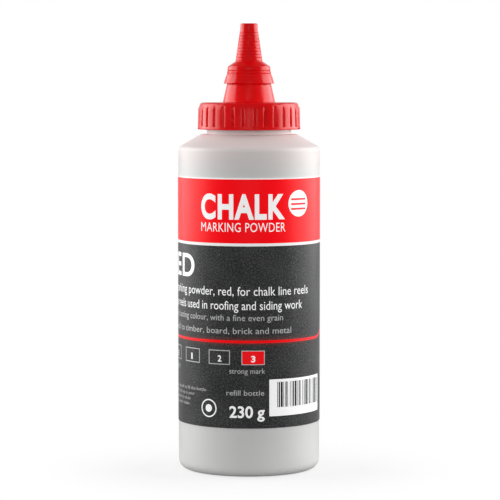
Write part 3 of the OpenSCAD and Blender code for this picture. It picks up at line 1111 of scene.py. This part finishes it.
# %% [markdown]
# ## The liner and the powder
#
# The liner is a washer of foam with pressed edges. The powder fills the bottle to the top of the label.
# Poured powder never lies flat, so its top is a grid of heights: a few broad waves, a low heap in the
# middle where it was poured, and small lumps. Grains could be scattered as thousands of small pieces, but
# at this size they would never be seen apart. All of it stays just under the height that the CAD solid
# gives it.

# %% Liner


def liner():
    """A closed four-sided outline with small rounds, carried round the axis."""
    hole = NECK_BORE_R - 0.35
    corners = [
        (hole, LINER_Z0, 0.2, 0.8),
        (LINER_R, LINER_Z0, 0.2, 0.4),
        (LINER_R, LINER_Z1, 0.2, 0.8),
        (hole, LINER_Z1, 0.2, 0.4),
    ]
    line = outline(corners, closed=True)
    points = turned(line[:, :1], line[:, 1:], around(144)[None])
    return grid_piece("liner_washer", points, "liner", FOAM, ["cap_liner"], loop=True)


liner()

# %% Powder
HEAP_H = 3.0


def powder():
    """A turned outline whose top rows rise by the heap, the waves and the lumps, less and less towards
    the wall."""
    side = POWDER_R - 0.02
    low = POWDER_Z1 - HEAP_H
    corners = [
        (0, POWDER_Z0 + 2.7),
        (10, POWDER_Z0 + 2.2, 4.0),
        (22, POWDER_Z0 + 0.1, 1.5, 2.0),
        (side, POWDER_Z0 + 0.1, 2.2, 6.0),
        (side, low, 0.8, 1.0),
        (0, low + 0.01),
    ]
    line = outline(corners)
    radius, height = line[:, :1], line[:, 1:]
    angle = around(128)[None]
    share = radius / side
    x, y = radius * np.cos(angle), radius * np.sin(angle)
    heap = 0.55 * np.exp(-((x - 3) ** 2 + (y + 2) ** 2) / 120)
    waves = 0.12 * np.sin(x / 5 + 1) * np.cos(y / 6 - 0.4)
    lumps = 0.07 * np.sin(x * 1.3 + 0.7 * y) * np.sin(y * 1.1 - 0.5 * x)
    on_top = height > low - 0.02
    rise = HEAP_H * (0.25 + heap + waves + lumps) * (1 - share ** 6)
    points = turned(radius, height + on_top * rise, angle)
    return grid_piece("powder_fill", points, "filled_bottle", CHALK, ["chalk_powder"])


powder()

# %% [markdown]
# ## The studio
#
# Plastic is shaped by what it reflects. Two tall soft boxes stand to the left and right of the bottle and a
# little behind it, so both sides are bright, their very edges stay deep, and the front falls off to a
# deeper tone. A weak fill from the front opens the shadows. It is kept out of reflections, because a lamp
# beside the camera would put a white patch on every glossy face. The surround and the floor are white where
# they are seen and dimmer as lights, or they would flood the front. Above, the surround is dim as a light
# too, which keeps the sloping faces deep.

# %% Floor and surround
FLOOR_HALF = 6.0
FLOOR_GAP = 0.0002
FLOOR_FELT = 0.1
MATT_SHARE = 0.28
MATT_NEAR, MATT_FAR = 0.02, 0.09


def floor():
    """One square just under the bottle. It is white where it is seen, and only FLOOR_FELT as strong as a
    light. Near the bottle a share of it is matt, so that a soft contact shadow shows."""
    mesh = bpy.data.meshes.new("floor")
    signs = ((-1, -1), (1, -1), (1, 1), (-1, 1))
    corners = [(x * FLOOR_HALF, y * FLOOR_HALF, -FLOOR_GAP) for x, y in signs]
    mesh.from_pydata(corners, [], [(0, 1, 2, 3)])
    ground = bpy.data.objects.new("floor", mesh)
    bpy.context.scene.collection.objects.link(ground)
    material, tree = new_material("studio_floor")
    _, x, y, _ = places(tree)
    away = (x * x + y * y) ** 0.5
    matt = node(tree, "ShaderNodeBsdfDiffuse", {}, {"Color": (0.93, 0.93, 0.93, 1)})
    strength = node(tree, "ShaderNodeLightPath") * (1 - FLOOR_FELT) + FLOOR_FELT
    glow = node(tree, "ShaderNodeEmission", {}, {"Color": (1, 1, 1, 1), "Strength": strength})
    share = away.step(MATT_NEAR, MATT_FAR) * MATT_SHARE + (1 - MATT_SHARE)
    white_floor = node(tree, "ShaderNodeMixShader", {}, {0: share, 1: matt, 2: glow})
    # seen from below it is clear, so that the base of the bottle can be looked at
    below = node(tree, "ShaderNodeNewGeometry", out="Backfacing")
    clear = node(tree, "ShaderNodeBsdfTransparent")
    surface = node(tree, "ShaderNodeMixShader", {}, {0: below, 1: white_floor, 2: clear})
    node(tree, "ShaderNodeOutputMaterial", {}, {"Surface": surface})
    mesh.materials.append(material)


def surround(front, behind):
    """The world is white where it is seen. As a light it has the strength front, and rises to behind
    towards +y, except high up."""
    world = bpy.data.worlds.new("surround")
    world.use_nodes = True
    tree = world.node_tree
    tree.nodes.clear()
    direction = node(tree, "ShaderNodeTexCoord", out=0)
    depth = node(tree, "ShaderNodeSeparateXYZ", {}, {0: direction}, out=1)
    height = node(tree, "ShaderNodeSeparateXYZ", {}, {0: direction}, out=2)
    felt = depth.step(-0.1, 0.7) * height.step(0.75, 0.25) * (behind - front) + front
    camera_ray = node(tree, "ShaderNodeLightPath")
    strength = camera_ray + (1 - camera_ray) * felt
    back = node(tree, "ShaderNodeBackground", {}, {"Color": (1, 1, 1, 1), "Strength": strength})
    node(tree, "ShaderNodeOutputWorld", {}, {"Surface": back})
    bpy.context.scene.world = world


floor()
surround(front=0.12, behind=0.8)
print("made the floor and the surround")

# %% Soft boxes and fill


def point_at(thing, place, aim):
    """Puts a lamp or camera at place with its -Z axis towards aim and its Y axis up."""
    back = np.subtract(place, aim) / np.linalg.norm(np.subtract(place, aim))
    right = np.cross((0.0, 0.0, 1.0), back)
    right = right / np.linalg.norm(right)
    turn = np.eye(4)
    turn[:3, 0], turn[:3, 1], turn[:3, 2], turn[:3, 3] = right, np.cross(back, right), back, place
    thing.matrix_world = turn.T.tolist()


def soft_box(name, place, aim, size, power):
    """A rectangular area light at place, turned to face aim."""
    light = bpy.data.lights.new(name, "AREA")
    light.shape, light.size, light.size_y, light.energy = "RECTANGLE", *size, power
    lamp = bpy.data.objects.new(name, light)
    bpy.context.scene.collection.objects.link(lamp)
    point_at(lamp, place, aim)
    return lamp


SIDE = math.radians(104)
AWAY = 0.8
BOX_MIDDLE_Z = 0.26
BOX_SIZE = (1.0, 1.3)
for name, sign, power in (("left_soft_box", -1, 12.8), ("right_soft_box", 1, 14.2)):
    place = (sign * AWAY * math.sin(SIDE), -AWAY * math.cos(SIDE), BOX_MIDDLE_Z)
    soft_box(name, place, (0, 0, BOX_MIDDLE_Z), BOX_SIZE, power)
fill = soft_box("front_fill", place=(0, -1.0, 0.3), aim=(0, 0, 0.12), size=(0.5, 0.5), power=3.4)
fill.visible_glossy = False
print("two soft boxes", AWAY, "m away, and a fill")

# %% Camera
CAM_AWAY = 0.95
CAM_HEIGHT = 0.158
CAM_LENS = 171.0
AIM_Z = 0.0876
AIM_X = 0.0004


def camera():
    """A long lens in front of the bottle, level with the bell of the tip, looking slightly down."""
    data = bpy.data.cameras.new("camera")
    data.lens, data.sensor_width, data.clip_start = CAM_LENS, 36.0, 0.01
    eye = bpy.data.objects.new("camera", data)
    bpy.context.scene.collection.objects.link(eye)
    point_at(eye, (AIM_X, -CAM_AWAY, CAM_HEIGHT), (AIM_X, 0.0, AIM_Z))
    bpy.context.scene.camera = eye


camera()
bpy.context.scene.view_settings.view_transform = "Standard"
print(len(PIECES), "pieces made, camera", CAM_AWAY, "m away")
